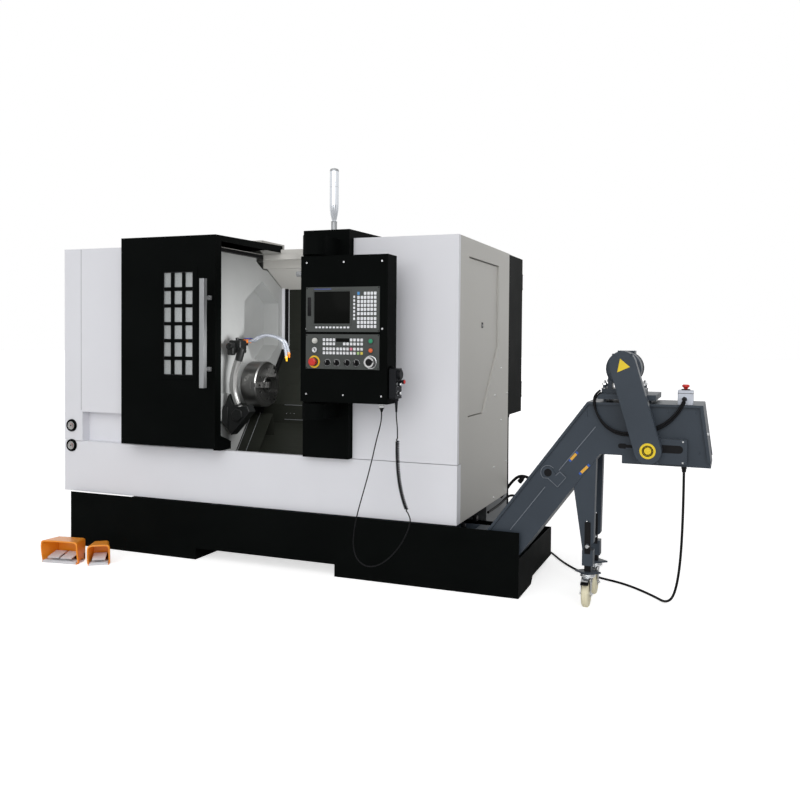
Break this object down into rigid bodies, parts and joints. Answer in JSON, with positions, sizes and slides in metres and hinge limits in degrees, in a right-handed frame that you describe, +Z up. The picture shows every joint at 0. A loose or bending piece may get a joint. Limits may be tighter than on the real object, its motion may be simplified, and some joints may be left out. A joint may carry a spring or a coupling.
{
  "type": "cnc turning lathe",
  "caption": "Enclosed slant-bed turning lathe with sliding front door, swivelling control pendant, chip conveyor on casters and foot switches.",
  "frame": {"origin": "on the floor under the middle of the whole machine's bounding box, without the cords", "axes": "+X to the right along the spindle, from the headstock to the conveyor's head; +Y to the rear; +Z up"},
  "size_m": [3.764, 1.726, 2.1972],
  "materials": {
    "white_paint": "smooth satin powder coat",
    "grey_paint": "smooth satin powder coat, warm grey",
    "black_paint": "fine textured powder coat",
    "inner_paint": "satin, light grey",
    "way_cover": "dark olive satin",
    "bed_iron": "painted casting",
    "motor_paint": "satin",
    "machined_steel": "ground and turned",
    "slide_iron": "painted and machined",
    "gauge_brass": "satin",
    "coolant_hose": "jointed hose with orange nozzles",
    "setter_steel": "bright tube, black hub and head",
    "window_glass": "clear laminated glass in a black frame",
    "satin_aluminium": "satin anodised",
    "panel_film": "membrane keyboard film",
    "stop_red": "gloss",
    "key_green": "gloss",
    "key_orange": "gloss",
    "knob_black": "satin",
    "hand_unit_blue": "fine texture",
    "cord_black": "satin",
    "conveyor_paint": "satin powder coat, dark blue grey",
    "box_grey": "satin",
    "lamp_clear": "pale translucent lens over a bright core",
    "guard_orange": "gloss enamel",
    "pedal_grey": "cast, ribbed",
    "zinc": "bright zinc plate",
    "nylon_cream": "smooth"
  },
  "bodies": {
    "machine": {"coolant_tank": "black_paint", "machine_bed": "bed_iron", "headstock": "bed_iron", "spindle_motor": "motor_paint", "front_cover_left": "white_paint", "front_apron": "white_paint", "front_cover_right": "white_paint", "side_cover_left": "grey_paint", "side_cover_right": "grey_paint", "roof_cover": "grey_paint", "pressure_gauges": "gauge_brass", "pendant_column": "black_paint", "spindle_wall": "inner_paint", "back_wall": "way_cover", "coolant_lines": "coolant_hose", "conveyor_trough": "conveyor_paint", "conveyor_gearmotor": "conveyor_paint", "chain_guard": "conveyor_paint", "power_cable": "cord_black", "stop_box": "box_grey", "electrical_cabinet": "black_paint", "tower_light": "lamp_clear", "foot_guards": "guard_orange"},
    "door": {"door_panel": "black_paint", "door_window": "window_glass", "door_handle": "satin_aluminium"},
    "spindle": {"spindle": "machined_steel", "chuck_body": "machined_steel"},
    "jaw_1": {"chuck_jaw_1": "machined_steel"},
    "jaw_2": {"chuck_jaw_2": "machined_steel"},
    "jaw_3": {"chuck_jaw_3": "machined_steel"},
    "carriage": {"carriage": "machined_steel"},
    "cross_slide": {"cross_slide": "slide_iron"},
    "turret": {"turret_disc": "slide_iron"},
    "tailstock": {"tailstock": "slide_iron"},
    "quill": {"quill": "machined_steel"},
    "setter_arm": {"setter_arm": "setter_steel"},
    "side_door": {"side_door": "grey_paint"},
    "cabinet_door": {"cabinet_door": "black_paint"},
    "pendant": {"pendant_box": "black_paint", "control_panels": "panel_film", "hand_unit": "hand_unit_blue", "hand_cord": "cord_black", "hand_cord_curl": "cord_black"},
    "stop_button": {"stop_button": "stop_red"},
    "start_button": {"start_button": "key_green"},
    "hold_button": {"hold_button": "key_orange"},
    "selector_1": {"selector_knob_1": "knob_black"},
    "selector_2": {"selector_knob_2": "knob_black"},
    "selector_3": {"selector_knob_3": "knob_black"},
    "selector_4": {"selector_knob_4": "knob_black"},
    "panel_handwheel": {"panel_handwheel": "knob_black"},
    "conveyor_stop_button": {"conveyor_stop_button": "stop_red"},
    "fork_front": {"caster_fork_front": "zinc"},
    "fork_rear": {"caster_fork_rear": "zinc"},
    "wheel_front": {"caster_wheel_front": "nylon_cream"},
    "wheel_rear": {"caster_wheel_rear": "nylon_cream"},
    "pedal_left": {"foot_pedal_left": "pedal_grey"},
    "pedal_right": {"foot_pedal_right": "pedal_grey"},
    "pedal_single": {"foot_pedal_single": "pedal_grey"}
  },
  "joints": [
    {"name": "door_slide", "type": "slide", "parent": "machine", "child": "door", "axis": [1, 0, 0], "range_m": [0, 0.512]},
    {"name": "spindle_spin", "type": "hinge", "parent": "machine", "child": "spindle", "pos_m": [-0.829, -0.01208, 0.985], "axis": [1, 0, 0], "continuous": true},
    {"name": "jaw_1_slide", "type": "slide", "parent": "spindle", "child": "jaw_1", "axis": [0, -1, 0], "range_m": [-0.005, 0.003]},
    {"name": "jaw_2_slide", "type": "slide", "parent": "spindle", "child": "jaw_2", "axis": [0, 0.5, 0.866], "range_m": [-0.005, 0.003]},
    {"name": "jaw_3_slide", "type": "slide", "parent": "spindle", "child": "jaw_3", "axis": [0, 0.5, -0.866], "range_m": [-0.005, 0.003]},
    {"name": "carriage_slide", "type": "slide", "parent": "machine", "child": "carriage", "axis": [1, 0, 0], "range_m": [-0.35, 0]},
    {"name": "cross_slide_feed", "type": "slide", "parent": "carriage", "child": "cross_slide", "axis": [0, 0.5736, 0.8192], "range_m": [-0.15, 0]},
    {"name": "turret_index", "type": "hinge", "parent": "cross_slide", "child": "turret", "pos_m": [-0.127, 0.1772, 1.25532], "axis": [1, 0, 0], "continuous": true},
    {"name": "tailstock_slide", "type": "slide", "parent": "machine", "child": "tailstock", "axis": [1, 0, 0], "range_m": [-0.1, 0]},
    {"name": "quill_slide", "type": "slide", "parent": "tailstock", "child": "quill", "axis": [1, 0, 0], "range_m": [-0.08, 0]},
    {"name": "setter_arm_swing", "type": "hinge", "parent": "machine", "child": "setter_arm", "pos_m": [-0.847, -0.15708, 0.815], "axis": [1, 0, 0], "range_deg": [0, 25]},
    {"name": "side_door_hinge", "type": "hinge", "parent": "machine", "child": "side_door", "pos_m": [0.657, -0.28608, 1.28], "axis": [0, 0, 1], "range_deg": [-100, 0]},
    {"name": "cabinet_door_hinge", "type": "hinge", "parent": "machine", "child": "cabinet_door", "pos_m": [0.659, 0.84992, 1.3], "axis": [0, 0, 1], "range_deg": [-110, 0]},
    {"name": "pendant_swivel", "type": "hinge", "parent": "machine", "child": "pendant", "pos_m": [-0.042, -0.65408, 1.3], "axis": [0, 0, 1], "range_deg": [-80, 8]},
    {"name": "stop_button_press", "type": "slide", "parent": "pendant", "child": "stop_button", "axis": [0, 1, 0], "range_m": [0, 0.006], "stiffness_N_per_m": 400, "springref_m": -0.002},
    {"name": "start_button_press", "type": "slide", "parent": "pendant", "child": "start_button", "axis": [0, 1, 0], "range_m": [0, 0.0025], "stiffness_N_per_m": 400, "springref_m": -0.002},
    {"name": "hold_button_press", "type": "slide", "parent": "pendant", "child": "hold_button", "axis": [0, 1, 0], "range_m": [0, 0.0025], "stiffness_N_per_m": 400, "springref_m": -0.002},
    {"name": "selector_1_turn", "type": "hinge", "parent": "pendant", "child": "selector_1", "pos_m": [0.064, -0.71708, 1.148], "axis": [0, 1, 0], "range_deg": [-120, 120]},
    {"name": "selector_2_turn", "type": "hinge", "parent": "pendant", "child": "selector_2", "pos_m": [0.115, -0.71708, 1.148], "axis": [0, 1, 0], "range_deg": [-120, 120]},
    {"name": "selector_3_turn", "type": "hinge", "parent": "pendant", "child": "selector_3", "pos_m": [0.173, -0.71708, 1.148], "axis": [0, 1, 0], "range_deg": [-45, 45]},
    {"name": "selector_4_turn", "type": "hinge", "parent": "pendant", "child": "selector_4", "pos_m": [0.224, -0.71708, 1.148], "axis": [0, 1, 0], "range_deg": [-45, 45]},
    {"name": "panel_handwheel_spin", "type": "hinge", "parent": "pendant", "child": "panel_handwheel", "pos_m": [0.301, -0.71708, 1.153], "axis": [0, 1, 0], "continuous": true},
    {"name": "conveyor_stop_press", "type": "slide", "parent": "machine", "child": "conveyor_stop_button", "axis": [0, 0, -1], "range_m": [0, 0.006], "stiffness_N_per_m": 500, "springref_m": -0.004},
    {"name": "fork_front_swivel", "type": "hinge", "parent": "machine", "child": "fork_front", "pos_m": [1.329, -0.43408, 0.15], "axis": [0, 0, 1], "continuous": true},
    {"name": "wheel_front_roll", "type": "hinge", "parent": "fork_front", "child": "wheel_front", "pos_m": [1.329, -0.47608, 0.062], "axis": [1, 0, 0], "continuous": true},
    {"name": "fork_rear_swivel", "type": "hinge", "parent": "machine", "child": "fork_rear", "pos_m": [1.329, -0.21708, 0.15], "axis": [0, 0, 1], "continuous": true},
    {"name": "wheel_rear_roll", "type": "hinge", "parent": "fork_rear", "child": "wheel_rear", "pos_m": [1.329, -0.25908, 0.062], "axis": [1, 0, 0], "continuous": true},
    {"name": "pedal_left_press", "type": "hinge", "parent": "machine", "child": "pedal_left", "pos_m": [-1.59541, -0.7686, 0.034], "axis": [0.9903, 0.1392, 0], "range_deg": [0, 9], "stiffness_Nm_per_rad": 3, "springref_deg": -11.46},
    {"name": "pedal_right_press", "type": "hinge", "parent": "machine", "child": "pedal_right", "pos_m": [-1.51421, -0.75718, 0.034], "axis": [0.9903, 0.1392, 0], "range_deg": [0, 9], "stiffness_Nm_per_rad": 3, "springref_deg": -11.46},
    {"name": "pedal_single_press", "type": "hinge", "parent": "machine", "child": "pedal_single", "pos_m": [-1.36185, -0.72443, 0.034], "axis": [0.8192, 0.5736, 0], "range_deg": [0, 9], "stiffness_Nm_per_rad": 3, "springref_deg": -11.46}
  ],
  "couplings": [
    {"joint": "jaw_2_slide", "follows": "jaw_1_slide", "ratio": 1},
    {"joint": "jaw_3_slide", "follows": "jaw_1_slide", "ratio": 1}
  ]
}
